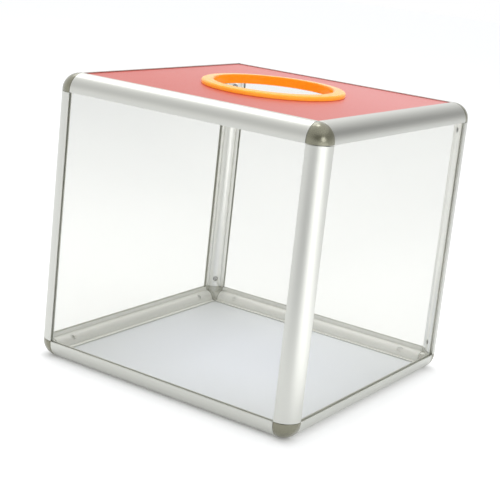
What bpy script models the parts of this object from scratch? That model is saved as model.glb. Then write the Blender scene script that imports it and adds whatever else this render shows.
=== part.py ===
# Clear hand-draw box: quarter-round aluminium profiles joined by eight moulded corner connectors, with clear
# side panels, a coloured top panel with a round hand hole and its ring, and a floor panel. Metres, +Z up.
# The box stands on z = 0 and is centred on x = 0, y = 0. Its front faces -Y.
import math

import bmesh
import bpy
from mathutils import Matrix, Vector

# Outside of the box, over the profiles
BOX_WIDTH = 0.300
BOX_DEPTH = 0.300
BOX_HEIGHT = 0.285

# Fits
TOUCH_GAP = 0.0003
EDGE_CLEARANCE = 0.0005
SEAM_GAP = 0.0003
CUT_OVERRUN = 0.002
MERGE_DISTANCE = 0.000001

# Panels, which all ride in the same slot
PANEL_THICKNESS = 0.002

# Quarter-round profile
PROFILE_SIDE = 0.018
FLAT_LAND = 0.0015
OUTER_LIP = 0.0008
INNER_LIP = 0.0011
CORE_WALL = 0.0011
SLOT_DEPTH = 0.004
ARC_STEPS = 12
CORE_STEPS = 5

# Arms of a corner connector, inside the profiles
ARM_PAST_SCREW = 0.008
ARM_ROOT_SHARE = 0.67

# Screws that lock an arm in its profile. The head lies in a hole in the crown, a little below its surface.
# Their places are measured from the outer face of the box.
POST_SCREW_PLACE = 0.028
RAIL_SCREW_PLACE = 0.041
SCREW_RADIUS = 0.00145
SCREW_LENGTH = 0.006
HEAD_RADIUS = 0.0027
HEAD_SINK = 0.0004
HEAD_CROWN_SHARE = 0.7
HEAD_RIM_SHARE = 0.5
SCREW_SIDES = 10

# Hand hole and its ring
MOUTH_RADIUS = 0.059
SLEEVE_WALL = 0.0028
FLANGE_WIDTH = 0.0125
FLANGE_OUTER_HEIGHT = 0.0042
FLANGE_INNER_HEIGHT = 0.0048
FLANGE_EDGE_RADIUS = 0.002
SLEEVE_DROP = 0.0022
SLEEVE_CHAMFER = 0.0005
FILLET_STEPS = 4
CROWN_STEPS = 3
RING_SIDES = 96

# Worked out from the sizes above
slot_width = PANEL_THICKNESS + 2 * TOUCH_GAP
back_face = OUTER_LIP + slot_width + INNER_LIP
slot_floor = PROFILE_SIDE - SLOT_DEPTH
arc_radius = PROFILE_SIDE - FLAT_LAND
bulge_radius = slot_floor - back_face
core_bulge_radius = bulge_radius - CORE_WALL
core_arc_radius = arc_radius - CORE_WALL
arm_bulge_radius = core_bulge_radius - TOUCH_GAP
arm_arc_radius = core_arc_radius - TOUCH_GAP
shank_hole_radius = SCREW_RADIUS + TOUCH_GAP
head_hole_radius = HEAD_RADIUS + TOUCH_GAP
head_seat = arm_bulge_radius + TOUCH_GAP
head_height = bulge_radius - HEAD_SINK - head_seat
member_start = PROFILE_SIDE + SEAM_GAP
panel_edge = slot_floor + EDGE_CLEARANCE
panel_low = OUTER_LIP + TOUCH_GAP
panel_high = panel_low + PANEL_THICKNESS
top_face_z = BOX_HEIGHT - panel_low
half_width = BOX_WIDTH / 2
half_depth = BOX_DEPTH / 2

X_AXIS = Vector((1, 0, 0))
Y_AXIS = Vector((0, 1, 0))
Z_AXIS = Vector((0, 0, 1))


def clear_scene():
    for obj in list(bpy.data.objects):
        bpy.data.objects.remove(obj, do_unlink=True)


def make_material(name, colour, roughness, metallic=0.0, transmission=0.0):
    material = bpy.data.materials.new(name)
    material.use_nodes = True
    shader = material.node_tree.nodes["Principled BSDF"]
    shader.inputs["Base Color"].default_value = (*colour, 1.0)
    shader.inputs["Roughness"].default_value = roughness
    shader.inputs["Metallic"].default_value = metallic
    shader.inputs["Transmission Weight"].default_value = transmission
    return material


def mesh_from(bm, name):
    bmesh.ops.recalc_face_normals(bm, faces=bm.faces)
    mesh = bpy.data.meshes.new(name)
    bm.to_mesh(mesh)
    bm.free()
    return mesh


def make_object(name, mesh, material):
    mesh.materials.clear()
    mesh.materials.append(material)
    obj = bpy.data.objects.new(name, mesh)
    bpy.context.scene.collection.objects.link(obj)
    return obj


# Turns an object so that its own X and Y run along first and second, whichever way round suits a piece that is
# the same on both sides, and so that its own Z runs along length.
def set_place(obj, origin, first, second, length):
    if first.cross(second).dot(length) < 0:
        first, second = second, first
    obj.location = origin
    obj.rotation_euler = Matrix((first, second, length)).transposed().to_euler()


# Joins the tools to the base, or cuts them from it, one after another.
def combined(base, tools, operation):
    target = bpy.data.objects.new("base", base)
    bpy.context.scene.collection.objects.link(target)
    helpers = []
    for tool in tools:
        helper = bpy.data.objects.new("tool", tool)
        bpy.context.scene.collection.objects.link(helper)
        helpers.append(helper)
        boolean = target.modifiers.new("boolean", "BOOLEAN")
        boolean.operation = operation
        boolean.solver = "EXACT"
        boolean.object = helper
    graph = bpy.context.evaluated_depsgraph_get()
    result = bpy.data.meshes.new_from_object(target.evaluated_get(graph))
    for obj in [target, *helpers]:
        bpy.data.objects.remove(obj, do_unlink=True)
    return result


def block(low, high):
    size = Vector(high) - Vector(low)
    centre = (Vector(high) + Vector(low)) / 2
    bm = bmesh.new()
    matrix = Matrix.Translation(centre) @ Matrix.Diagonal((*size, 1))
    bmesh.ops.create_cube(bm, size=1, matrix=matrix)
    return mesh_from(bm, "block")


def prism(outline, start, end):
    bm = bmesh.new()
    face = bm.faces.new([bm.verts.new((x, y, start)) for x, y in outline])
    extruded = bmesh.ops.extrude_face_region(bm, geom=[face])
    verts = [item for item in extruded["geom"] if isinstance(item, bmesh.types.BMVert)]
    bmesh.ops.translate(bm, verts=verts, vec=(0, 0, end - start))
    return mesh_from(bm, "prism")


def rod(radius, start, end, sides):
    outline = [
        (radius * math.cos(angle), radius * math.sin(angle))
        for angle in (2 * math.pi * side / sides for side in range(sides))
    ]
    return prism(outline, start, end)


# Turns an outline of (radius, height) points about Z. One whose ends lie on the axis gives a solid of its own;
# any other is a loop, which gives a ring.
def turned(outline, sides):
    bm = bmesh.new()
    verts = [bm.verts.new((radius, 0, height)) for radius, height in outline]
    edges = [bm.edges.new(pair) for pair in zip(verts, verts[1:])]
    if outline[0][0] > 0:
        edges.append(bm.edges.new((verts[-1], verts[0])))
    bmesh.ops.spin(
        bm, geom=verts + edges, cent=(0, 0, 0), axis=Z_AXIS, angle=2 * math.pi, steps=sides, use_merge=True
    )
    bmesh.ops.remove_doubles(bm, verts=bm.verts, dist=MERGE_DISTANCE)
    return mesh_from(bm, "turned")


def moved(mesh, matrix):
    mesh.transform(matrix)
    return mesh


def arc(centre, radius, start, end, steps):
    return [
        (centre[0] + radius * math.cos(angle), centre[1] + radius * math.sin(angle))
        for angle in (start + (end - start) * step / steps for step in range(steps + 1))
    ]


# Section of a profile, from its outer corner at (0, 0) inwards, with the two panel slots
def profile_outline():
    slot_back = OUTER_LIP + slot_width
    upper = [
        (0, PROFILE_SIDE),
        (OUTER_LIP, PROFILE_SIDE),
        (OUTER_LIP, slot_floor),
        (slot_back, slot_floor),
        (slot_back, PROFILE_SIDE),
        (back_face, PROFILE_SIDE),
    ]
    bulge = arc((back_face, back_face), bulge_radius, math.pi / 2, 0, ARC_STEPS)
    lower = [(y, x) for x, y in reversed(upper)]
    outer = arc((arc_radius, arc_radius), arc_radius, 1.5 * math.pi, math.pi, ARC_STEPS)
    return upper + bulge + lower + outer


# Overlap of the bulge's disc and the outer arc's disc: the hollow core of a profile, and the arm that fills it
def lens_outline(disc_radius, outer_radius):
    apart = math.hypot(arc_radius - back_face, arc_radius - back_face)
    reach = (disc_radius**2 - outer_radius**2 + apart**2) / (2 * apart)
    disc_turn = math.acos(reach / disc_radius)
    outer_turn = math.acos((apart - reach) / outer_radius)
    diagonal = math.pi / 4
    disc = arc((back_face, back_face), disc_radius, diagonal - disc_turn, diagonal + disc_turn, CORE_STEPS)
    facing = math.pi + diagonal
    outer = arc((arc_radius, arc_radius), outer_radius, facing - outer_turn, facing + outer_turn, CORE_STEPS)
    return disc + outer[1:-1]


# Frame for what crosses a profile or an arm on its diagonal: Z points from the core to the inside of the box
def diagonal_frame(first, second, length, place):
    out = (first + second).normalized()
    side = out.cross(length)
    turn = Matrix((length, side, out)).transposed().to_4x4()
    return Matrix.Translation((first + second) * back_face + length * place) @ turn


# A hollow profile. Its head holes start halfway up the core, so that they open the crown alone.
def profile_mesh(length, screw_place):
    tools = [prism(lens_outline(core_bulge_radius, core_arc_radius), -CUT_OVERRUN, length + CUT_OVERRUN)]
    for place in (screw_place - member_start, length - screw_place + member_start):
        hole = rod(head_hole_radius, core_bulge_radius / 2, bulge_radius + CUT_OVERRUN, SCREW_SIDES)
        tools.append(moved(hole, diagonal_frame(X_AXIS, Y_AXIS, Z_AXIS, place)))
    return combined(prism(profile_outline(), 0, length), tools, "DIFFERENCE")


# Corner block with its three outer edges rounded into an eighth of a ball
def rounded_corner():
    bm = bmesh.new()
    centre = Vector((PROFILE_SIDE, PROFILE_SIDE, PROFILE_SIDE)) / 2
    matrix = Matrix.Translation(centre) @ Matrix.Diagonal((PROFILE_SIDE, PROFILE_SIDE, PROFILE_SIDE, 1))
    corners = bmesh.ops.create_cube(bm, size=1, matrix=matrix)["verts"]
    tip = min(corners, key=lambda vert: vert.co.length)
    bmesh.ops.bevel(
        bm,
        geom=list(tip.link_edges),
        offset=arc_radius,
        segments=ARC_STEPS,
        profile=0.5,
        affect="EDGES",
        clamp_overlap=False,
    )
    return mesh_from(bm, "corner")


# The three directions of a connector, each with the two that are square to it
ARMS = (
    (X_AXIS, Y_AXIS, Z_AXIS, RAIL_SCREW_PLACE),
    (Y_AXIS, Z_AXIS, X_AXIS, RAIL_SCREW_PLACE),
    (Z_AXIS, X_AXIS, Y_AXIS, POST_SCREW_PLACE),
)


def axes_matrix(first, second, length):
    return Matrix((first, second, length)).transposed().to_4x4()


def connector_mesh():
    past_corner = PROFILE_SIDE + CUT_OVERRUN
    inside = block((back_face, back_face, back_face), (past_corner, past_corner, past_corner))
    bulges = []
    pockets = []
    arms = []
    holes = []
    for length, first, second, screw_place in ARMS:
        to_axis = axes_matrix(first, second, length)
        bulge = rod(bulge_radius, 0, past_corner + CUT_OVERRUN, 4 * ARC_STEPS)
        bulges.append(moved(bulge, to_axis @ Matrix.Translation((back_face, back_face, 0))))
        pocket = block(
            (slot_floor, slot_floor, OUTER_LIP), (past_corner, past_corner, OUTER_LIP + slot_width)
        )
        pockets.append(moved(pocket, to_axis))
        arm_end = screw_place + ARM_PAST_SCREW
        arm = prism(lens_outline(arm_bulge_radius, arm_arc_radius), PROFILE_SIDE * ARM_ROOT_SHARE, arm_end)
        arms.append(moved(arm, to_axis))
        hole = rod(shank_hole_radius, -arc_radius, bulge_radius, SCREW_SIDES)
        holes.append(moved(hole, diagonal_frame(first, second, length, screw_place)))
    inside = combined(inside, bulges, "DIFFERENCE")
    hub = combined(rounded_corner(), [inside, *pockets], "DIFFERENCE")
    return combined(combined(hub, arms, "UNION"), holes, "DIFFERENCE")


def screw_mesh():
    outline = [
        (0, -SCREW_LENGTH),
        (SCREW_RADIUS, SCREW_RADIUS - SCREW_LENGTH),
        (SCREW_RADIUS, 0),
        (HEAD_RADIUS, 0),
        (HEAD_RADIUS, head_height * HEAD_RIM_SHARE),
        (HEAD_RADIUS * HEAD_CROWN_SHARE, head_height),
        (0, head_height),
    ]
    return turned(outline, SCREW_SIDES)


# Ring outline from the foot of its sleeve, up the bore, over the flange and back under it. Height 0 is the top
# of the panel that the flange lies on.
def ring_outline():
    flange_low = TOUCH_GAP
    inner_top = flange_low + FLANGE_INNER_HEIGHT
    outer_top = flange_low + FLANGE_OUTER_HEIGHT
    sleeve_low = -PANEL_THICKNESS - SLEEVE_DROP
    outer_radius = MOUTH_RADIUS + FLANGE_WIDTH
    sleeve_radius = MOUTH_RADIUS + SLEEVE_WALL
    edge = FLANGE_EDGE_RADIUS
    crown_start = (MOUTH_RADIUS + edge, inner_top)
    crown_end = (outer_radius - edge, outer_top)
    inner_edge = arc((crown_start[0], inner_top - edge), edge, math.pi, math.pi / 2, FILLET_STEPS)
    outer_edge = arc((crown_end[0], outer_top - edge), edge, math.pi / 2, 0, FILLET_STEPS)
    crown = []
    for step in range(1, CROWN_STEPS):
        share = step / CROWN_STEPS
        fall = (1 - math.cos(math.pi * share)) / 2
        crown.append(
            (
                crown_start[0] + (crown_end[0] - crown_start[0]) * share,
                inner_top + (outer_top - inner_top) * fall,
            )
        )
    under = [
        (outer_radius, flange_low),
        (sleeve_radius, flange_low),
        (sleeve_radius, sleeve_low + SLEEVE_CHAMFER),
        (sleeve_radius - SLEEVE_CHAMFER, sleeve_low),
        (MOUTH_RADIUS + SLEEVE_CHAMFER, sleeve_low),
        (MOUTH_RADIUS, sleeve_low + SLEEVE_CHAMFER),
    ]
    return inner_edge + crown + outer_edge + under


# Every straight member: its name, the directions that point into the box, its length direction and its far end
def member_list(rail_x, rail_y, post):
    members = []
    for level, z, up in (("bottom", 0, Z_AXIS), ("top", BOX_HEIGHT, -Z_AXIS)):
        for side, y, inward in (("front", -half_depth, Y_AXIS), ("back", half_depth, -Y_AXIS)):
            origin = Vector((member_start - half_width, y, z))
            members.append((f"rail_{level}_{side}", rail_x, origin, inward, up, X_AXIS))
        for side, x, inward in (("left", -half_width, X_AXIS), ("right", half_width, -X_AXIS)):
            origin = Vector((x, member_start - half_depth, z))
            members.append((f"rail_{level}_{side}", rail_y, origin, inward, up, Y_AXIS))
    for side_y, y, inward_y in (("front", -half_depth, Y_AXIS), ("back", half_depth, -Y_AXIS)):
        for side_x, x, inward_x in (("left", -half_width, X_AXIS), ("right", half_width, -X_AXIS)):
            origin = Vector((x, y, member_start))
            members.append((f"post_{side_y}_{side_x}", post, origin, inward_x, inward_y, Z_AXIS))
    return members


def smooth_round(mesh):
    mesh.shade_smooth()
    mesh.set_sharp_from_angle(angle=math.radians(30))


clear_scene()

aluminium = make_material("satin_aluminium", (0.62, 0.63, 0.65), 0.32, metallic=1.0)
corner_plastic = make_material("corner_plastic", (0.135, 0.13, 0.095), 0.2)
clear_sheet = make_material("clear_sheet", (0.96, 0.98, 0.97), 0.03, transmission=1.0)
top_sheet = make_material("top_sheet", (0.8, 0.29, 0.26), 0.35)
floor_sheet = make_material("floor_sheet", (0.82, 0.85, 0.87), 0.5)
ring_plastic = make_material("ring_plastic", (1.0, 0.36, 0.03), 0.3)
screw_steel = make_material("screw_steel", (0.55, 0.55, 0.56), 0.3, metallic=1.0)

rail_x_length = BOX_WIDTH - 2 * member_start
rail_y_length = BOX_DEPTH - 2 * member_start
post_length = BOX_HEIGHT - 2 * member_start
rail_x_mesh = profile_mesh(rail_x_length, RAIL_SCREW_PLACE)
rail_y_mesh = profile_mesh(rail_y_length, RAIL_SCREW_PLACE)
post_mesh = profile_mesh(post_length, POST_SCREW_PLACE)
lengths = {rail_x_mesh: rail_x_length, rail_y_mesh: rail_y_length, post_mesh: post_length}
screw_places = {rail_x_mesh: RAIL_SCREW_PLACE, rail_y_mesh: RAIL_SCREW_PLACE, post_mesh: POST_SCREW_PLACE}
for mesh in lengths:
    smooth_round(mesh)

# Profiles, each with a screw near either end whose head lies one touch gap above the arm
screw = screw_mesh()
smooth_round(screw)
head_lift = Matrix.Translation((0, 0, head_seat))
for name, mesh, origin, first, second, length in member_list(rail_x_mesh, rail_y_mesh, post_mesh):
    member = make_object(name, mesh, aluminium)
    set_place(member, origin, first, second, length)
    near_end = screw_places[mesh] - member_start
    for number, place in enumerate((near_end, lengths[mesh] - near_end), start=1):
        fastener = make_object(f"screw_{name}_{number}", screw, screw_steel)
        frame = diagonal_frame(first, second, length, place) @ head_lift
        fastener.location = origin + frame.to_translation()
        fastener.rotation_euler = frame.to_euler()

# Eight connectors, the same part turned into each corner
connector = connector_mesh()
smooth_round(connector)
for level, z, up in (("bottom", 0, Z_AXIS), ("top", BOX_HEIGHT, -Z_AXIS)):
    for side_y, y, inward_y in (("front", -half_depth, Y_AXIS), ("back", half_depth, -Y_AXIS)):
        for side_x, x, inward_x in (("left", -half_width, X_AXIS), ("right", half_width, -X_AXIS)):
            corner = make_object(f"corner_{level}_{side_y}_{side_x}", connector, corner_plastic)
            set_place(corner, Vector((x, y, z)), inward_x, inward_y, up)

# Clear sides, which run into the slots of the posts and the rails
side_x_reach = half_width - panel_edge
side_y_reach = half_depth - panel_edge
for name, y in (("panel_front", -half_depth + panel_low), ("panel_back", half_depth - panel_high)):
    sheet = block(
        (-side_x_reach, y, panel_edge), (side_x_reach, y + PANEL_THICKNESS, BOX_HEIGHT - panel_edge)
    )
    make_object(name, sheet, clear_sheet)
for name, x in (("panel_left", -half_width + panel_low), ("panel_right", half_width - panel_high)):
    sheet = block(
        (x, -side_y_reach, panel_edge), (x + PANEL_THICKNESS, side_y_reach, BOX_HEIGHT - panel_edge)
    )
    make_object(name, sheet, clear_sheet)

# Floor and top, in the same slots
floor = block((-side_x_reach, -side_y_reach, panel_low), (side_x_reach, side_y_reach, panel_high))
make_object("panel_floor", floor, floor_sheet)
top_low = top_face_z - PANEL_THICKNESS
top = block((-side_x_reach, -side_y_reach, top_low), (side_x_reach, side_y_reach, top_face_z))
hand_hole_radius = MOUTH_RADIUS + SLEEVE_WALL + TOUCH_GAP
hand_hole = rod(hand_hole_radius, top_low - CUT_OVERRUN, top_face_z + CUT_OVERRUN, RING_SIDES)
make_object("panel_top", combined(top, [hand_hole], "DIFFERENCE"), top_sheet)

# Ring, which drops into the hand hole and hangs there by its flange
ring_mesh = turned(ring_outline(), RING_SIDES)
smooth_round(ring_mesh)
ring = make_object("hand_ring", ring_mesh, ring_plastic)
ring.location = (0, 0, top_face_z)
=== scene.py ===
import math

import bmesh
import bpy
from mathutils import Matrix, Vector


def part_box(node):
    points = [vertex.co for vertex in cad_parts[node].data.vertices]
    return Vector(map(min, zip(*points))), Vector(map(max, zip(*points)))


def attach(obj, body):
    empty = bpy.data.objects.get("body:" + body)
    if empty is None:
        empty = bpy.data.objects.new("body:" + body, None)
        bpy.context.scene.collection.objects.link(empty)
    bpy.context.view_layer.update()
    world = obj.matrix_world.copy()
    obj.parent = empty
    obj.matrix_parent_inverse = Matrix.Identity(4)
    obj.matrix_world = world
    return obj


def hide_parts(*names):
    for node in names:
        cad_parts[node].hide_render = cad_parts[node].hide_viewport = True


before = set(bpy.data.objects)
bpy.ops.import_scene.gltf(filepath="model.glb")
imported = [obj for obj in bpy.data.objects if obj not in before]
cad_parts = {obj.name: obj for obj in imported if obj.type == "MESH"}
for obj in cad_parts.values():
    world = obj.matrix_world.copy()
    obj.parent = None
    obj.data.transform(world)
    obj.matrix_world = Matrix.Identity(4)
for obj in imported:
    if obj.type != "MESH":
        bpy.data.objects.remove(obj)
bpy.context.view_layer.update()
print("frame loaded:", len(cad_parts), "nodes")

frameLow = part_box("corner_bottom_front_left")[0]
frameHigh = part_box("corner_top_back_right")[1]
frameCentre = (frameLow + frameHigh) / 2
axes = (Vector((1, 0, 0)), Vector((0, 1, 0)), Vector((0, 0, 1)))
outerArc = 0.0165  # radius of the rounded outside, the same on profiles and connectors
joinDistance = 0.000001
cutOverrun = 0.002
fineSegments = 2  # for roundings under half a millimetre


# Small tools for bmesh and Booleans

def meshFrom(bm, name):
    bmesh.ops.remove_doubles(bm, verts=bm.verts, dist=joinDistance)
    bmesh.ops.recalc_face_normals(bm, faces=bm.faces)
    mesh = bpy.data.meshes.new(name)
    bm.to_mesh(mesh)
    bm.free()
    return mesh


def rounded(bm, parts, offset, segments, affect="EDGES"):
    bmesh.ops.bevel(
        bm,
        geom=parts,
        offset=offset,
        segments=segments,
        profile=0.5,
        affect=affect,
        material=-1,
        clamp_overlap=False,
    )


# A flat face from a few corners (x, y, rounding, segments), each rounded by its own amount
def roundedFace(bm, corners):
    verts = [bm.verts.new((x, y, 0)) for x, y, rounding, segments in corners]
    bm.faces.new(verts)
    for vert, (x, y, rounding, segments) in zip(verts, corners):
        if rounding:
            rounded(bm, [vert], rounding, segments, affect="VERTICES")
    bmesh.ops.remove_doubles(bm, verts=bm.verts, dist=joinDistance)
    bm.faces.ensure_lookup_table()
    return bm.faces[0]


def liftFace(bm, face, start, end):
    bmesh.ops.translate(bm, verts=face.verts, vec=(0, 0, start))
    lifted = bmesh.ops.extrude_face_region(bm, geom=[face])
    verts = [item for item in lifted["geom"] if isinstance(item, bmesh.types.BMVert)]
    bmesh.ops.translate(bm, verts=verts, vec=(0, 0, end - start))


# A body turned about Z from the corners (radius, height, rounding, segments) of its section
def turnedBody(corners, steps, name):
    bm = bmesh.new()
    face = roundedFace(bm, corners)
    bmesh.ops.rotate(bm, verts=bm.verts, cent=(0, 0, 0), matrix=Matrix.Rotation(math.pi / 2, 3, "X"))
    bmesh.ops.spin(
        bm,
        geom=list(face.edges),
        cent=(0, 0, 0),
        axis=axes[2],
        angle=2 * math.pi,
        steps=steps,
        use_merge=True,
    )
    bmesh.ops.delete(bm, geom=[face], context="FACES_ONLY")
    return meshFrom(bm, name)


def rod(radius, start, end, sides):
    bm = bmesh.new()
    bmesh.ops.create_cone(
        bm,
        cap_ends=True,
        segments=sides,
        radius1=radius,
        radius2=radius,
        depth=end - start,
        matrix=Matrix.Translation((0, 0, (start + end) / 2)),
    )
    return meshFrom(bm, "rod")


def block(low, high, rounding=0):
    size = Vector(high) - Vector(low)
    centre = (Vector(high) + Vector(low)) / 2
    bm = bmesh.new()
    bmesh.ops.create_cube(bm, size=1, matrix=Matrix.Translation(centre) @ Matrix.Diagonal((*size, 1)))
    if rounding:
        rounded(bm, bm.edges[:], rounding, fineSegments)
    return meshFrom(bm, "block")


def turned(mesh, matrix):
    mesh.transform(matrix)
    return mesh


def combined(base, tools, operation):
    target = bpy.data.objects.new("base", base)
    bpy.context.scene.collection.objects.link(target)
    helpers = []
    for tool in tools:
        helper = bpy.data.objects.new("tool", tool)
        bpy.context.scene.collection.objects.link(helper)
        helpers.append(helper)
        boolean = target.modifiers.new("boolean", "BOOLEAN")
        boolean.operation = operation
        boolean.solver = "EXACT"
        boolean.object = helper
    graph = bpy.context.evaluated_depsgraph_get()
    result = bpy.data.meshes.new_from_object(target.evaluated_get(graph))
    for thing in [target, *helpers]:
        bpy.data.objects.remove(thing, do_unlink=True)
    return result


# A piece takes its name from the node that it replaces
def addPiece(node, mesh, material, body, smoothAngle=20):
    mesh.materials.clear()
    mesh.materials.append(material)
    mesh.shade_smooth()
    mesh.set_sharp_from_angle(angle=math.radians(smoothAngle))
    piece = bpy.data.objects.new(node.replace("_", "-"), mesh)
    bpy.context.scene.collection.objects.link(piece)
    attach(piece, body)
    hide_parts(node)


# Small tools for materials

def newMaterial(name):
    material = bpy.data.materials.new(name)
    material.use_nodes = True
    tree = material.node_tree
    return material, tree.nodes, tree.links, tree.nodes["Principled BSDF"]


# The place of a point at rest: every piece's origin is the origin of the whole box
def placeOf(nodes):
    return nodes.new("ShaderNodeTexCoord").outputs["Object"]


def partsOf(nodes, links, vector):
    parts = nodes.new("ShaderNodeSeparateXYZ")
    links.new(vector, parts.inputs["Vector"])
    return parts.outputs


def noiseOf(nodes, links, scale, stretch=(1, 1, 1), detail=3):
    mapping = nodes.new("ShaderNodeMapping")
    mapping.inputs["Scale"].default_value = stretch
    noise = nodes.new("ShaderNodeTexNoise")
    noise.inputs["Scale"].default_value = scale
    noise.inputs["Detail"].default_value = detail
    links.new(placeOf(nodes), mapping.inputs["Vector"])
    links.new(mapping.outputs["Vector"], noise.inputs["Vector"])
    return noise.outputs["Fac"]


# Maps a value from one range to another; most of a noise lies between 0.3 and 0.7
def spread(nodes, links, source, low, high, fromLow=0.3, fromHigh=0.7):
    ranged = nodes.new("ShaderNodeMapRange")
    ranged.inputs["From Min"].default_value = fromLow
    ranged.inputs["From Max"].default_value = fromHigh
    ranged.inputs["To Min"].default_value = low
    ranged.inputs["To Max"].default_value = high
    links.new(source, ranged.inputs["Value"])
    return ranged.outputs["Result"]


def calculated(nodes, links, operation, *sources):
    step = nodes.new("ShaderNodeMath")
    step.operation = operation
    for socket, source in zip(step.inputs, sources):
        if isinstance(source, (int, float)):
            socket.default_value = source
        else:
            links.new(source, socket)
    return step.outputs["Value"]


def vectorStep(nodes, links, operation, source, value=None, output="Vector"):
    step = nodes.new("ShaderNodeVectorMath")
    step.operation = operation
    links.new(source, step.inputs[0])
    if value is not None:
        step.inputs[1].default_value = value
    return step.outputs[output]


# 1 where a value lies between two limits, otherwise 0
def between(nodes, links, source, low, high):
    above = calculated(nodes, links, "GREATER_THAN", source, low)
    below = calculated(nodes, links, "LESS_THAN", source, high)
    return calculated(nodes, links, "MULTIPLY", above, below)


# Mixes two colours, each a fixed one or the output of another node
def blendColours(nodes, links, source, first, second):
    mix = nodes.new("ShaderNodeMix")
    mix.data_type = "RGBA"
    for name, colour in (("A", first), ("B", second)):
        if isinstance(colour, bpy.types.NodeSocket):
            links.new(colour, mix.inputs[name])
        else:
            mix.inputs[name].default_value = (*colour, 1)
    links.new(source, mix.inputs["Factor"])
    return mix.outputs["Result"]


# For a profile or a connector: how far a point lies below the rounded outside, from the lines and balls on
# which the rounding is centred, and how far it is from the middle of the box's height
def depthAndHeight(nodes, links):
    reach = (frameHigh - frameLow) / 2 - Vector((outerArc,) * 3)
    fromCentre = vectorStep(nodes, links, "SUBTRACT", placeOf(nodes), frameCentre)
    distance = vectorStep(nodes, links, "ABSOLUTE", fromCentre)
    pastReach = vectorStep(nodes, links, "SUBTRACT", distance, reach)
    positive = vectorStep(nodes, links, "MAXIMUM", pastReach, (0, 0, 0))
    length = vectorStep(nodes, links, "LENGTH", positive, output="Value")
    depth = calculated(nodes, links, "SUBTRACT", outerArc, length)
    return depth, partsOf(nodes, links, distance)["Z"]


def addBump(nodes, links, shader, source, strength, distance):
    bump = nodes.new("ShaderNodeBump")
    bump.inputs["Strength"].default_value = strength
    bump.inputs["Distance"].default_value = distance
    links.new(source, bump.inputs["Height"])
    links.new(bump.outputs["Normal"], shader.inputs["Normal"])


# Fine grain of a moulded or rolled surface, in its roughness and its relief
def addGrain(nodes, links, shader, finish):
    grain = noiseOf(nodes, links, finish["grainScale"], detail=2)
    links.new(spread(nodes, links, grain, *finish["roughness"]), shader.inputs["Roughness"])
    addBump(nodes, links, shader, grain, finish["grainStrength"], finish["grainDepth"])


# Camera at the photograph's viewpoint

viewpoint = {
    "azimuth": 32.83,
    "elevation": 12.14,
    "roll": 6.15,
    "place": (0.6549, -1.0373, 0.4439),
    "lens": 90.02,
    "sensor": 36.0,
    "shiftUp": -0.12,
}

cameraData = bpy.data.cameras.new("camera")
cameraData.lens = viewpoint["lens"]
cameraData.sensor_width = viewpoint["sensor"]
cameraData.shift_y = viewpoint["shiftUp"]
camera = bpy.data.objects.new("camera", cameraData)
bpy.context.scene.collection.objects.link(camera)
camera.matrix_world = (
    Matrix.Translation(viewpoint["place"])
    @ Matrix.Rotation(math.radians(viewpoint["azimuth"]), 4, "Z")
    @ Matrix.Rotation(math.radians(90 - viewpoint["elevation"]), 4, "X")
    @ Matrix.Rotation(math.radians(viewpoint["roll"]), 4, "Z")
)
bpy.context.scene.camera = camera


# Satin anodised aluminium, drawn lines along one axis. Painted light makes the sides that face into the box
# brighter, a little less on the rails and hardly at all on the inner lip, and a faint painted glow lifts the
# panel slots, except near the top and bottom of the frame. Its depths are metres below the rounded outside.

aluminium = {
    "outer": ((0.645, 0.65, 0.61), (0.69, 0.695, 0.655)),
    # painted light: these brighter colours stand for light on the sides that face into the box
    "paintedLightInner": ((0.9, 0.9, 0.875), (0.94, 0.94, 0.915)),
    "railShare": 0.94,
    "outerDepth": (0.0003, 0.0006),
    "lipDepth": (0.0033, 0.0043),
    "lipPaintedLightShare": 0.15,
    "slotDepth": (0.0006, 0.0033),
    # painted glow: a faint white emission in the panel slots
    "paintedSlotGlow": 0.02,
    "paintedGlowFromEnds": 0.006,
    "roughness": (0.3, 0.36),
    "railRougher": 0.38,
    "lineScale": 3200,
    "lineStretch": 0.008,
    "lineDepth": 0.00001,
    "lineStrength": 0.15,
    "toneScale": 60,
}


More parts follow.
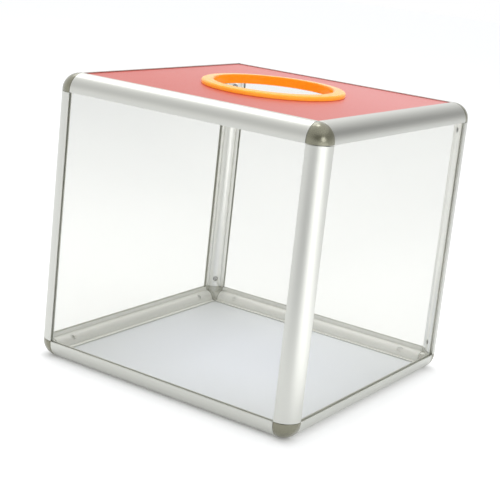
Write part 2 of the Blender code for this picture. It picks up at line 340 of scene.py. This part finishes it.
def satinAluminium(axis):
    material, nodes, links, shader = newMaterial("satinAluminium" + "XYZ"[axis])
    isRail = axis < 2
    stretch = [1, 1, 1]
    stretch[axis] = aluminium["lineStretch"]
    lines = noiseOf(nodes, links, aluminium["lineScale"], stretch, detail=4)
    tone = noiseOf(nodes, links, aluminium["toneScale"], stretch, detail=2)
    depth, fromMiddle = depthAndHeight(nodes, links)
    inside = spread(nodes, links, depth, 0, 1, *aluminium["outerDepth"])
    inLip = between(nodes, links, depth, *aluminium["lipDepth"])
    lipShade = spread(nodes, links, inLip, 1, aluminium["lipPaintedLightShare"], 0, 1)
    # painted light on the sides that face into the box, held back in the inner lip
    paintedLightMask = calculated(nodes, links, "MULTIPLY", inside, lipShade)
    share = aluminium["railShare"] if isRail else 1
    outer = blendColours(nodes, links, tone, *aluminium["outer"])
    paintedLightInner = blendColours(nodes, links, tone, *[Vector(colour) * share for colour in aluminium["paintedLightInner"]])
    links.new(blendColours(nodes, links, paintedLightMask, outer, paintedLightInner), shader.inputs["Base Color"])
    shader.inputs["Metallic"].default_value = 1
    rough = spread(nodes, links, lines, *aluminium["roughness"])
    if isRail:
        rough = calculated(nodes, links, "MULTIPLY_ADD", inside, aluminium["railRougher"], rough)
    links.new(rough, shader.inputs["Roughness"])
    # painted glow in the panel slots, except near the top and bottom of the frame
    paintedGlowReach = (frameHigh.z - frameLow.z) / 2 - aluminium["paintedGlowFromEnds"]
    inSlot = between(nodes, links, depth, *aluminium["slotDepth"])
    upright = calculated(nodes, links, "LESS_THAN", fromMiddle, paintedGlowReach)
    paintedGlowMask = calculated(nodes, links, "MULTIPLY", inSlot, upright)
    glow = calculated(nodes, links, "MULTIPLY", paintedGlowMask, aluminium["paintedSlotGlow"])
    links.new(glow, shader.inputs["Emission Strength"])
    shader.inputs["Emission Color"].default_value = (1, 1, 1, 1)
    addBump(nodes, links, shader, lines, aluminium["lineStrength"], aluminium["lineDepth"])
    return material


# Quarter-round profiles: section from its outer corner, with two panel slots, a hollow core and screw holes

profile = {
    "side": 0.018,
    "outerLip": 0.0008,
    "slotWidth": 0.0026,
    "innerLip": 0.0011,
    "slotDepth": 0.004,
    "coreWall": 0.0011,
    "coreSegments": 14,
    "arcSegments": 28,
    "bulgeSegments": 20,
    "lipRounding": 0.00025,
    "endRounding": 0.0003,
    "endNormal": 0.9,  # least Z of the normal of a face that is an end
    "headHole": 0.003,
    "holeSides": 32,
    "sameDigits": 5,  # profiles that are alike to this many decimals share a mesh
}
slotBack = profile["outerLip"] + profile["slotWidth"]
backFace = slotBack + profile["innerLip"]
slotFloor = profile["side"] - profile["slotDepth"]
bulgeRadius = slotFloor - backFace


def profileCorners():
    side, lip, soft = profile["side"], profile["outerLip"], profile["lipRounding"]
    half = [
        (side, 0, soft, fineSegments),
        (side, lip, soft, fineSegments),
        (slotFloor, lip, 0, 0),
        (slotFloor, slotBack, 0, 0),
        (side, slotBack, soft, fineSegments),
        (side, backFace, soft, fineSegments),
        (slotFloor, backFace, 0, 0),
    ]
    other = [(y, x, rounding, segments) for x, y, rounding, segments in reversed(half)]
    outer = (0, 0, outerArc, profile["arcSegments"])
    bulge = (slotFloor, slotFloor, bulgeRadius, profile["bulgeSegments"])
    return [outer, *half, bulge, *other]


# The hollow core or an arm in it: where the disc of the bulge and the disc of the outer arc overlap, both
# drawn in by the same inset, made by two spins
def lensPrism(inset, start, end):
    discRadius, outerRadius = bulgeRadius - inset, outerArc - inset
    arcCentre = Vector((outerArc, outerArc, 0))
    discCentre = Vector((backFace, backFace, 0))
    apart = (arcCentre - discCentre).length
    reach = (discRadius**2 - outerRadius**2 + apart**2) / (2 * apart)
    discTurn = math.acos(reach / discRadius)
    outerTurn = math.acos((apart - reach) / outerRadius)
    tipAngle = math.pi / 4 - discTurn
    tip = discCentre + discRadius * Vector((math.cos(tipAngle), math.sin(tipAngle), 0))
    bm = bmesh.new()
    geom = [bm.verts.new(tip)]
    for centre, turn in ((discCentre, discTurn), (arcCentre, outerTurn)):
        geom = bmesh.ops.spin(
            bm, geom=geom, cent=centre, axis=axes[2], angle=2 * turn, steps=profile["coreSegments"]
        )["geom_last"]
    bmesh.ops.remove_doubles(bm, verts=bm.verts, dist=joinDistance)
    face = bmesh.ops.contextual_create(bm, geom=bm.edges[:])["faces"][0]
    liftFace(bm, face, start, end)
    return meshFrom(bm, "lens")


# Turns Z to the diagonal that points into the box, for what crosses a profile at its place along it
def diagonalMatrix(first, second, length, place):
    out = (first + second).normalized()
    turn = Matrix((length, out.cross(length), out)).transposed().to_4x4()
    return Matrix.Translation((first + second) * backFace + length * place) @ turn


def profileMesh(length, places):
    bm = bmesh.new()
    face = roundedFace(bm, profileCorners())
    liftFace(bm, face, 0, length)
    ends = [side for side in bm.faces if abs(side.normal.z) > profile["endNormal"]]
    rounded(bm, [edge for end in ends for edge in end.edges], profile["endRounding"], fineSegments)
    tools = [lensPrism(profile["coreWall"], -cutOverrun, length + cutOverrun)]
    for place in places:
        hole = rod(profile["headHole"], bulgeRadius / 2, bulgeRadius + cutOverrun, profile["holeSides"])
        tools.append(turned(hole, diagonalMatrix(*axes, place)))
    return combined(meshFrom(bm, "profile"), tools, "DIFFERENCE")


# Where a member stands: its outer corner and the directions that point into the box from there
def inwardPlace(node, lengthAxis):
    low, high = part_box(node)
    origin = low.copy()
    inward = []
    for index in range(3):
        if index != lengthAxis and (low[index] + high[index]) / 2 > frameCentre[index]:
            origin[index] = high[index]
            inward.append(-axes[index])
        else:
            inward.append(axes[index])
    return origin, inward


def placeMatrix(origin, first, second, length):
    if first.cross(second).dot(length) < 0:
        first, second = second, first
    return Matrix.Translation(origin) @ Matrix((first, second, length)).transposed().to_4x4()


# Each profile's node with the axis of its length
members = {
    f"rail_{level}_{side}": 0 if side in ("front", "back") else 1
    for level in ("bottom", "top")
    for side in ("front", "back", "left", "right")
}
members.update({f"post_{y}_{x}": 2 for y in ("front", "back") for x in ("left", "right")})
aluminiums = [satinAluminium(axis) for axis in range(3)]
profileMeshes = {}
screwPlaces = []
for node, axis in members.items():
    origin, inward = inwardPlace(node, axis)
    low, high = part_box(node)
    length = high[axis] - low[axis]
    places = []
    for number in (1, 2):
        screwLow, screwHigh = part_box(f"screw_{node}_{number}")
        places.append((screwLow[axis] + screwHigh[axis]) / 2 - origin[axis])
    key = tuple(round(value, profile["sameDigits"]) for value in (length, *sorted(places)))
    if key not in profileMeshes:
        profileMeshes[key] = profileMesh(length, places)
    first, second = [inward[index] for index in range(3) if index != axis]
    mesh = turned(profileMeshes[key].copy(), placeMatrix(origin, first, second, axes[axis]))
    addPiece(node, mesh, aluminiums[axis], "box")
    for number, place in enumerate(places, start=1):
        diagonal = Matrix.Translation(origin) @ diagonalMatrix(first, second, axes[axis], place)
        screwPlaces.append((f"screw_{node}_{number}", diagonal))
print("profiles:", len(members))


# Grey-olive moulded plastic of the corner connectors, with painted light that makes the sides that face into
# the box paler

cornerFinish = {
    "outer": ((0.222, 0.216, 0.15), (0.26, 0.253, 0.182)),
    "paintedLightInner": (0.5, 0.5, 0.46),
    "innerDepth": (0.001, 0.004),
    "broadScale": 90,
    "grainScale": 2600,
    "grainStrength": 0.04,
    "grainDepth": 0.00001,
    "roughness": (0.24, 0.3),
    "metallic": 0.6,
    "coat": 0.9,
    "coatRoughness": 0.14,
}


def cornerPlastic():
    material, nodes, links, shader = newMaterial("cornerPlastic")
    broad = noiseOf(nodes, links, cornerFinish["broadScale"], detail=2)
    depth = depthAndHeight(nodes, links)[0]
    # painted light: paler where the connector faces into the box
    inside = spread(nodes, links, depth, 0, 1, *cornerFinish["innerDepth"])
    outer = blendColours(nodes, links, broad, *cornerFinish["outer"])
    links.new(blendColours(nodes, links, inside, outer, cornerFinish["paintedLightInner"]), shader.inputs["Base Color"])
    shader.inputs["Metallic"].default_value = cornerFinish["metallic"]
    shader.inputs["Coat Weight"].default_value = cornerFinish["coat"]
    shader.inputs["Coat Roughness"].default_value = cornerFinish["coatRoughness"]
    addGrain(nodes, links, shader, cornerFinish)
    return material


# Corner connectors: an eighth of a ball outside, the profiles' crowns inside, pockets for the panels' corners
# and an arm in each profile's core

connector = {
    "ballSegments": 24,
    "seamRounding": 0.0003,
    "armClearance": 0.0003,
    "armPastScrew": 0.008,
    "armRootShare": 0.67,
    "shankHole": 0.00175,
    "crownSides": 80,
}


def connectorHub():
    side = profile["side"]
    bm = bmesh.new()
    corners = bmesh.ops.create_cube(
        bm, size=side, matrix=Matrix.Translation((side / 2, side / 2, side / 2))
    )["verts"]
    tip = min(corners, key=lambda vert: vert.co.length)
    rounded(bm, list(tip.link_edges), outerArc, connector["ballSegments"])
    far = {face for face in bm.faces if max(face.calc_center_median()) > side - joinDistance}
    seams = [edge for edge in bm.edges if sum(face in far for face in edge.link_faces) == 1]
    rounded(bm, seams, connector["seamRounding"], fineSegments)
    return meshFrom(bm, "hub")


def connectorMesh(screwPlace):
    past = profile["side"] + cutOverrun
    armStart = profile["side"] * connector["armRootShare"]
    armInset = profile["coreWall"] + connector["armClearance"]
    inside = block((backFace,) * 3, (past,) * 3)
    crowns, pockets, arms, holes = [], [], [], []
    for index in range(3):
        length, first, second = axes[index], axes[(index + 1) % 3], axes[(index + 2) % 3]
        toAxis = Matrix((first, second, length)).transposed().to_4x4()
        crown = rod(bulgeRadius, 0, past + cutOverrun, connector["crownSides"])
        crowns.append(turned(crown, toAxis @ Matrix.Translation((backFace, backFace, 0))))
        pocket = block((slotFloor, slotFloor, profile["outerLip"]), (past, past, slotBack))
        pockets.append(turned(pocket, toAxis))
        arm = lensPrism(armInset, armStart, screwPlace[index] + connector["armPastScrew"])
        arms.append(turned(arm, toAxis))
        hole = rod(connector["shankHole"], -outerArc, bulgeRadius, profile["holeSides"])
        holes.append(turned(hole, diagonalMatrix(first, second, length, screwPlace[index])))
    inside = combined(inside, crowns, "DIFFERENCE")
    hub = combined(connectorHub(), [inside, *pockets], "DIFFERENCE")
    return combined(combined(hub, arms, "UNION"), holes, "DIFFERENCE")


def placeFromCorner(node, axis):
    low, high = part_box(node)
    return (low[axis] + high[axis]) / 2 - frameLow[axis]


plastic = cornerPlastic()
firstConnector = connectorMesh(
    (
        placeFromCorner("screw_rail_bottom_front_1", 0),
        placeFromCorner("screw_rail_bottom_left_1", 1),
        placeFromCorner("screw_post_front_left_1", 2),
    )
)
for level in ("bottom", "top"):
    for y in ("front", "back"):
        for x in ("left", "right"):
            origin = Vector(
                (
                    frameLow.x if x == "left" else frameHigh.x,
                    frameLow.y if y == "front" else frameHigh.y,
                    frameLow.z if level == "bottom" else frameHigh.z,
                )
            )
            inward = [axes[index] * (1 if origin[index] < frameCentre[index] else -1) for index in range(3)]
            mesh = turned(firstConnector.copy(), placeMatrix(origin, *inward))
            addPiece(f"corner_{level}_{y}_{x}", mesh, plastic, "box")
print("connectors: 8")


# Screws whose heads lie in the crowns of the profiles

screw = {
    "shankRadius": 0.00145,
    "shankLength": 0.006,
    "tipRounding": 0.0004,
    "tipSegments": 3,
    "headRadius": 0.0027,
    "headHeight": 0.0007,
    "headRounding": 0.0003,
    "headSegments": 4,
    "crownShare": 0.6,
    "crownRounding": 0.0006,
    "recessLength": 0.0031,
    "recessWidth": 0.0007,
    "recessDepth": 0.0006,
    "sides": 40,
}

# Steel of the screws in two copies: painted light makes the rails' screws paler, painted shade makes the
# posts' screws darker
steelFinish = {
    "Rails": ((0.78, 0.78, 0.76), (0.86, 0.86, 0.84)),
    "Posts": ((0.34, 0.34, 0.34), (0.42, 0.42, 0.42)),
    "grainScale": 900,
    "grainStrength": 0.2,
    "grainDepth": 0.00003,
    "roughness": (0.22, 0.38),
}


def screwSteel(where):
    material, nodes, links, shader = newMaterial("screwSteel" + where)
    tone = noiseOf(nodes, links, steelFinish["grainScale"], detail=3)
    links.new(blendColours(nodes, links, tone, *steelFinish[where]), shader.inputs["Base Color"])
    links.new(spread(nodes, links, tone, *steelFinish["roughness"]), shader.inputs["Roughness"])
    shader.inputs["Metallic"].default_value = 1
    addBump(nodes, links, shader, tone, steelFinish["grainStrength"], steelFinish["grainDepth"])
    return material


def screwMesh():
    shank, tip = screw["shankRadius"], screw["shankLength"]
    head, height = screw["headRadius"], screw["headHeight"]
    share, segments = screw["crownShare"], screw["headSegments"]
    corners = [
        (0, -tip, 0, 0),
        (shank, shank - tip, screw["tipRounding"], screw["tipSegments"]),
        (shank, 0, 0, 0),
        (head, 0, 0, 0),
        (head, height * share, screw["headRounding"], segments),
        (head * share, height, screw["crownRounding"], segments),
        (0, height, 0, 0),
    ]
    body = turnedBody(corners, screw["sides"], "screw")
    length, width = screw["recessLength"] / 2, screw["recessWidth"] / 2
    low, high = height - screw["recessDepth"], height + cutOverrun
    bars = [
        block((-length, -width, low), (length, width, high)),
        block((-width, -length, low), (width, length, high)),
    ]
    return combined(body, bars, "DIFFERENCE")


steels = {where: screwSteel(where) for where in ("Rails", "Posts")}
firstScrew = screwMesh()
onCoreWall = Matrix.Translation((0, 0, bulgeRadius - profile["coreWall"]))
for node, matrix in screwPlaces:
    mesh = turned(firstScrew.copy(), matrix @ onCoreWall)
    # painted light on the rails' screws, painted shade on the posts' screws
    addPiece(node, mesh, steels["Posts" if "post" in node else "Rails"], "box")
print("screws:", len(screwPlaces))


# Clear side sheets, with painted shade that makes them darker towards the top and the left

clearFinish = {
    "upper": (0.1, 0.12, 0.0),
    "lower": (0.63, 0.64, 0.5),
    "fadeFrom": 0.245,
    "fadeTo": 0.125,
    "rightShare": 0.6,
    "rightFrom": (-0.05, 0.14),
    "hazeScale": 14,
    "roughness": (0.02, 0.05),
    "refraction": 1.49,
    "alpha": 0.095,
    "edgeRounding": 0.0003,
}


def clearSheet():
    material, nodes, links, shader = newMaterial("clearSheet")
    parts = partsOf(nodes, links, placeOf(nodes))
    # painted shade: darker towards the top and the left
    downward = spread(nodes, links, parts["Z"], 0, 1, clearFinish["fadeFrom"], clearFinish["fadeTo"])
    rightward = spread(nodes, links, parts["X"], 0, clearFinish["rightShare"], *clearFinish["rightFrom"])
    lessPaintedShade = calculated(nodes, links, "MAXIMUM", downward, rightward)
    colour = blendColours(nodes, links, lessPaintedShade, clearFinish["upper"], clearFinish["lower"])
    links.new(colour, shader.inputs["Base Color"])
    haze = noiseOf(nodes, links, clearFinish["hazeScale"], detail=2)
    links.new(spread(nodes, links, haze, *clearFinish["roughness"]), shader.inputs["Roughness"])
    shader.inputs["IOR"].default_value = clearFinish["refraction"]
    shader.inputs["Alpha"].default_value = clearFinish["alpha"]
    return material


clear = clearSheet()
for side in ("front", "back", "left", "right"):
    sheet = block(*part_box(f"panel_{side}"), clearFinish["edgeRounding"])
    addPiece(f"panel_{side}", sheet, clear, "box")
print("clear sheets: 4")


# White floor sheet, with painted shade that makes it a little darker at the left and a faint painted glow in
# its middle

floorFinish = {
    "tones": ((0.91, 0.93, 0.965), (0.94, 0.96, 0.995)),
    "leftPaintedShade": 0.81,
    "leftReach": (-0.13, -0.02),
    "glow": (0.06, 0.065, 0.1),
    "paintedGlowReach": (0.16, 0.04),
    "broadScale": 12,
    "grainScale": 1400,
    "grainStrength": 0.1,
    "grainDepth": 0.00003,
    "roughness": (0.45, 0.6),
    "edgeRounding": 0.0003,
}


def floorSheet():
    material, nodes, links, shader = newMaterial("floorSheet")
    broad = noiseOf(nodes, links, floorFinish["broadScale"])
    place = placeOf(nodes)
    parts = partsOf(nodes, links, place)
    # painted shade: darker towards the left
    left = spread(nodes, links, parts["X"], floorFinish["leftPaintedShade"], 1, *floorFinish["leftReach"])
    shaded = nodes.new("ShaderNodeVectorMath")
    shaded.operation = "SCALE"
    links.new(blendColours(nodes, links, broad, *floorFinish["tones"]), shaded.inputs["Vector"])
    links.new(left, shaded.inputs["Scale"])
    links.new(shaded.outputs["Vector"], shader.inputs["Base Color"])
    # painted glow: emission in the middle of the sheet
    fromMiddle = vectorStep(nodes, links, "LENGTH", place, output="Value")
    glow = spread(nodes, links, fromMiddle, 0, 1, *floorFinish["paintedGlowReach"])
    links.new(glow, shader.inputs["Emission Strength"])
    shader.inputs["Emission Color"].default_value = (*floorFinish["glow"], 1)
    addGrain(nodes, links, shader, floorFinish)
    return material


floorMesh = block(*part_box("panel_floor"), floorFinish["edgeRounding"])
addPiece("panel_floor", floorMesh, floorSheet(), "box")
print("floor sheet")


# Ring that hangs in the hand hole by its flange

ring = {
    "bore": 0.059,
    "sleeveWall": 0.0028,
    "flangeWidth": 0.0125,
    "clearance": 0.0003,
    "innerHeight": 0.0048,
    "outerHeight": 0.0042,
    "rimRounding": 0.0021,
    "rimSegments": 8,
    "crownPlaces": (0.33, 0.67),
    "crownFall": 0.2,
    "crownRounding": 0.002,
    "crownSegments": 4,
    "footRounding": 0.0003,
    "neckRounding": 0.0002,
    "sleeveReach": 0.0042,
    "sleeveRounding": 0.0005,
    "sleeveSegments": 3,
    "smoothAngle": 35,
    "sides": 144,
}
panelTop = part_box("panel_top")[1].z

# Glossy orange plastic, with painted light that makes the flange paler than the sleeve, and a faint painted
# orange glow
ringFinish = {
    "sleeve": ((1.0, 0.26, 0.008), (1.0, 0.3, 0.012)),
    "flange": ((1.0, 0.48, 0.055), (1.0, 0.53, 0.075)),
    "flangeFrom": (0.0006, 0.0026),
    "broadScale": 40,
    "grainScale": 1800,
    "grainStrength": 0.08,
    "grainDepth": 0.00003,
    "roughness": (0.12, 0.18),
    "specular": 0.09,
    "subsurface": 0.25,
    "subsurfaceRadius": (1.0, 0.35, 0.08),
    "subsurfaceScale": 0.003,
    "glow": (1, 0.2, 0.005),
    "paintedGlowStrength": 0.2,
}


def ringPlastic():
    material, nodes, links, shader = newMaterial("ringPlastic")
    broad = noiseOf(nodes, links, ringFinish["broadScale"], detail=2)
    level = vectorStep(nodes, links, "MULTIPLY", placeOf(nodes), (1, 1, 0))
    radius = vectorStep(nodes, links, "LENGTH", level, output="Value")
    flangeFrom = [ring["bore"] + reach for reach in ringFinish["flangeFrom"]]
    inFlange = spread(nodes, links, radius, 0, 1, *flangeFrom)
    sleeve = blendColours(nodes, links, broad, *ringFinish["sleeve"])
    flange = blendColours(nodes, links, broad, *ringFinish["flange"])
    # painted light: the flange is paler than the sleeve
    links.new(blendColours(nodes, links, inFlange, sleeve, flange), shader.inputs["Base Color"])
    shader.inputs["Specular IOR Level"].default_value = ringFinish["specular"]
    shader.inputs["Subsurface Weight"].default_value = ringFinish["subsurface"]
    shader.inputs["Subsurface Radius"].default_value = ringFinish["subsurfaceRadius"]
    shader.inputs["Subsurface Scale"].default_value = ringFinish["subsurfaceScale"]
    # painted glow: orange emission over the whole ring
    shader.inputs["Emission Color"].default_value = (*ringFinish["glow"], 1)
    shader.inputs["Emission Strength"].default_value = ringFinish["paintedGlowStrength"]
    addGrain(nodes, links, shader, ringFinish)
    return material


def ringMesh():
    low, bore, width = ring["clearance"], ring["bore"], ring["flangeWidth"]
    outer, sleeve = bore + width, bore + ring["sleeveWall"]
    innerTop, outerTop = low + ring["innerHeight"], low + ring["outerHeight"]
    fall = (innerTop - outerTop) * ring["crownFall"]
    inward, outward = ring["crownPlaces"]
    rim = (ring["rimRounding"], ring["rimSegments"])
    crown = (ring["crownRounding"], ring["crownSegments"])
    sleeveEnd = (-ring["sleeveReach"], ring["sleeveRounding"], ring["sleeveSegments"])
    corners = [
        (bore, innerTop, *rim),
        (bore + width * inward, innerTop - fall, *crown),
        (bore + width * outward, outerTop + fall, *crown),
        (outer, outerTop, *rim),
        (outer, low, ring["footRounding"], fineSegments),
        (sleeve, low, ring["neckRounding"], fineSegments),
        (sleeve, *sleeveEnd),
        (bore, *sleeveEnd),
    ]
    return turned(turnedBody(corners, ring["sides"], "ring"), Matrix.Translation((0, 0, panelTop)))


addPiece("hand_ring", ringMesh(), ringPlastic(), "ring", ring["smoothAngle"])
print("ring")


# Salmon-red top sheet with the hand hole, with painted sheen that makes it paler at the back and right, and
# pale below

topFinish = {
    "face": ((0.65, 0.076, 0.048), (0.69, 0.09, 0.062)),
    "back": (0.78, 0.21, 0.195),
    "backRightShare": 0.5,
    "backFrom": (-0.13, 0.12),
    "underside": (0.86, 0.87, 0.87),
    "faceDepth": 0.0005,
    "broadScale": 10,
    "grainScale": 1400,
    "grainStrength": 0.08,
    "grainDepth": 0.00002,
    "roughness": (0.3, 0.4),
    "specular": 0.35,
    "edgeRounding": 0.0003,
    "rimRounding": 0.0003,
}


def topSheet():
    material, nodes, links, shader = newMaterial("topSheet")
    broad = noiseOf(nodes, links, topFinish["broadScale"])
    parts = partsOf(nodes, links, placeOf(nodes))
    faceLow = panelTop - topFinish["faceDepth"]
    coloured = spread(nodes, links, parts["Z"], 0, 1, faceLow, faceLow + joinDistance)
    across = calculated(nodes, links, "MULTIPLY_ADD", parts["X"], topFinish["backRightShare"], parts["Y"])
    # painted sheen: paler towards the back and the right
    paintedSheenMask = spread(nodes, links, across, 0, 1, *topFinish["backFrom"])
    red = blendColours(nodes, links, broad, *topFinish["face"])
    face = blendColours(nodes, links, paintedSheenMask, red, topFinish["back"])
    links.new(blendColours(nodes, links, coloured, topFinish["underside"], face), shader.inputs["Base Color"])
    shader.inputs["Specular IOR Level"].default_value = topFinish["specular"]
    addGrain(nodes, links, shader, topFinish)
    return material


def topMesh():
    low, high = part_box("panel_top")
    holeRadius = ring["bore"] + ring["sleeveWall"] + ring["clearance"]
    hole = rod(holeRadius, low.z - cutOverrun, high.z + cutOverrun, ring["sides"])
    cut = combined(block(low, high, topFinish["edgeRounding"]), [hole], "DIFFERENCE")
    bm = bmesh.new()
    bm.from_mesh(cut)
    nearHole = holeRadius + joinDistance
    rim = [
        edge
        for edge in bm.edges
        if all(vert.co.xy.length < nearHole for vert in edge.verts)
        and abs(edge.verts[0].co.z - edge.verts[1].co.z) < joinDistance
    ]
    rounded(bm, rim, topFinish["rimRounding"], fineSegments)
    return meshFrom(bm, "top")


addPiece("panel_top", topMesh(), topSheet(), "box")
print("top sheet")


# Floor of the studio, lamps and white backdrop. Ranges are metres for the floor; for the band and the front
# they are parts of a direction of length 1.

studio = {
    "floorSize": 12,
    "floorCells": 4,
    "floorHeight": -0.0003,
    "floorColour": 0.9,
    "floorRoughness": 0.9,
    "floorSpecular": 0.1,
    "frontGlow": 0.33,
    "backGlow": 0.25,
    "backFrom": (0.1, 0.6),
    "mirroredShare": 0.55,
    "sideGlow": 0.67,
    "sideSlope": 0.83,
    "sideAcross": (0.05, 0.25),
    "sideForward": (-0.05, 0.3),
    "sideAway": (0.19, 0.32),
    "underBox": (0.138, 0.153),
    "underLevel": 0.4,
    "shadeAt": (0.45, -1.0, 0),
    "shadeReach": (0.2, 0.75),
    "shadeLevel": 0.55,
    "ambientColour": (0.97, 0.985, 1),
    "ambient": 0.84,
    "bandLow": (-0.15, 0.3),
    "bandHigh": (0.55, 0.8),
    "bandSide": (-0.3, 0.4),
    "bandDepth": 0.7,
    "frontUp": (0.1, 0.4),
    "frontSide": (-0.1, -0.6),
    "frontDepth": 0.3,
}


# 1 for what is seen straight, mirrored or through the sheets
def whiteRays(nodes, links):
    rays = nodes.new("ShaderNodeLightPath").outputs
    straight = calculated(nodes, links, "MAXIMUM", rays["Is Camera Ray"], rays["Is Glossy Ray"])
    return calculated(nodes, links, "MAXIMUM", straight, rays["Is Transmission Ray"])


def product(nodes, links, *sources):
    result = sources[0]
    for source in sources[1:]:
        result = calculated(nodes, links, "MULTIPLY", result, source)
    return result


# White floor. Seen straight, mirrored or through the sheets it has a glow, stronger at the right of the
# front post. At the front it is shaded in what it lights and where it is mirrored, but not where it is seen
# straight.
def studioFloorMaterial():
    material, nodes, links, shader = newMaterial("studioFloor")
    rays = nodes.new("ShaderNodeLightPath").outputs
    place = placeOf(nodes)
    parts = partsOf(nodes, links, place)
    across = calculated(nodes, links, "MULTIPLY_ADD", parts["Y"], studio["sideSlope"], parts["X"])
    rightward = spread(nodes, links, across, 0, 1, *studio["sideAcross"])
    forward = spread(nodes, links, parts["Y"], 1, 0, *studio["sideForward"])
    away = spread(nodes, links, parts["X"], 0, 1, *studio["sideAway"])
    side = product(nodes, links, rightward, forward, away)
    plain = spread(nodes, links, parts["Y"], studio["frontGlow"], studio["backGlow"], *studio["backFrom"])
    mirroredLess = studio["mirroredShare"] - 1
    share = calculated(nodes, links, "MULTIPLY_ADD", rays["Is Glossy Ray"], mirroredLess, 1)
    plain = calculated(nodes, links, "MULTIPLY", plain, share)
    glow = calculated(nodes, links, "MULTIPLY_ADD", side, studio["sideGlow"], plain)
    farX = calculated(nodes, links, "ABSOLUTE", parts["X"])
    farY = calculated(nodes, links, "ABSOLUTE", parts["Y"])
    far = calculated(nodes, links, "MAXIMUM", farX, farY)
    outside = spread(nodes, links, far, studio["underLevel"], 1, *studio["underBox"])
    distance = vectorStep(nodes, links, "DISTANCE", place, studio["shadeAt"], output="Value")
    shade = spread(nodes, links, distance, studio["shadeLevel"], 1, *studio["shadeReach"])
    shade = calculated(nodes, links, "MAXIMUM", shade, rays["Is Camera Ray"])
    lit = spread(nodes, links, shade, 0, 1, studio["shadeLevel"], 1)
    shown = product(nodes, links, whiteRays(nodes, links), glow, outside, lit)
    links.new(shown, shader.inputs["Emission Strength"])
    links.new(
        calculated(nodes, links, "MULTIPLY", shade, studio["floorColour"]), shader.inputs["Base Color"]
    )
    shader.inputs["Emission Color"].default_value = (1, 1, 1, 1)
    shader.inputs["Roughness"].default_value = studio["floorRoughness"]
    shader.inputs["Specular IOR Level"].default_value = studio["floorSpecular"]
    return material


bm = bmesh.new()
bmesh.ops.create_grid(
    bm,
    x_segments=studio["floorCells"],
    y_segments=studio["floorCells"],
    size=studio["floorSize"] / 2,
    matrix=Matrix.Translation((0, 0, studio["floorHeight"])),
)
studioFloorMesh = meshFrom(bm, "studioFloor")
studioFloorMesh.materials.append(studioFloorMaterial())
studioFloor = bpy.data.objects.new("studioFloor", studioFloorMesh)
bpy.context.scene.collection.objects.link(studioFloor)

# Lamps: where each one is, what it points at, its sides in metres and its power in watts
lamps = {
    "overhead": {
        "place": (-1.05, 0.69, 1.75),
        "aim": (-0.35, 0.46, 0.2),
        "size": (1.1, 1.3),
        "power": 6.8,
    },
    "right": {
        "place": (2.2, -0.9, 0.9),
        "aim": (0, 0, 0.15),
        "size": (1.0, 1.0),
        "power": 9,
    },
    "small": {
        "place": (-0.22, 0.35, 1.9),
        "aim": (0.1, -0.1, 0.25),
        "size": (0.4, 0.4),
        "power": 2.4,
    },
}
for name, lamp in lamps.items():
    lampData = bpy.data.lights.new(name, "AREA")
    lampData.shape = "RECTANGLE"
    lampData.size, lampData.size_y = lamp["size"]
    lampData.energy = lamp["power"]
    lampObject = bpy.data.objects.new(name, lampData)
    bpy.context.scene.collection.objects.link(lampObject)
    lampObject.location = lamp["place"]
    back = (Vector(lamp["place"]) - Vector(lamp["aim"])).normalized()
    across = axes[1].cross(back).normalized()
    lampObject.rotation_euler = Matrix((across, back.cross(across), back)).transposed().to_euler()
    lampObject.visible_camera = False


# World: an even soft light for the pieces; a white backdrop for what is seen straight, mirrored or through
# the sheets. Where it is mirrored it has a darker band behind the box at the right and a slightly darker
# front.
def studioWorld():
    world = bpy.data.worlds.new("studio")
    world.use_nodes = True
    nodes, links = world.node_tree.nodes, world.node_tree.links
    ambient = nodes["Background"]
    ambient.inputs["Color"].default_value = (*studio["ambientColour"], 1)
    ambient.inputs["Strength"].default_value = studio["ambient"]
    backdrop = nodes.new("ShaderNodeBackground")
    backdrop.inputs["Strength"].default_value = 1
    direction = nodes.new("ShaderNodeTexCoord").outputs["Generated"]
    toX, toY, toZ = partsOf(nodes, links, direction)
    bandStart = spread(nodes, links, toZ, 0, 1, *studio["bandLow"])
    bandEnd = spread(nodes, links, toZ, 1, 0, *studio["bandHigh"])
    bandSide = spread(nodes, links, toX, 0, studio["bandDepth"], *studio["bandSide"])
    frontUp = spread(nodes, links, toZ, 0, 1, *studio["frontUp"])
    frontSide = spread(nodes, links, toY, 0, studio["frontDepth"], *studio["frontSide"])
    band = product(nodes, links, bandStart, bandEnd, bandSide)
    front = product(nodes, links, frontUp, frontSide)
    darker = calculated(nodes, links, "ADD", band, front)
    tone = calculated(nodes, links, "SUBTRACT", 1, darker)
    seenStraight = nodes.new("ShaderNodeLightPath").outputs["Is Camera Ray"]
    links.new(calculated(nodes, links, "MAXIMUM", tone, seenStraight), backdrop.inputs["Color"])
    choose = nodes.new("ShaderNodeMixShader")
    links.new(whiteRays(nodes, links), choose.inputs["Fac"])
    links.new(ambient.outputs["Background"], choose.inputs[1])
    links.new(backdrop.outputs["Background"], choose.inputs[2])
    links.new(choose.outputs["Shader"], nodes["World Output"].inputs["Surface"])
    return world


bpy.context.scene.world = studioWorld()
bpy.context.scene.view_settings.view_transform = "Standard"
print("studio")
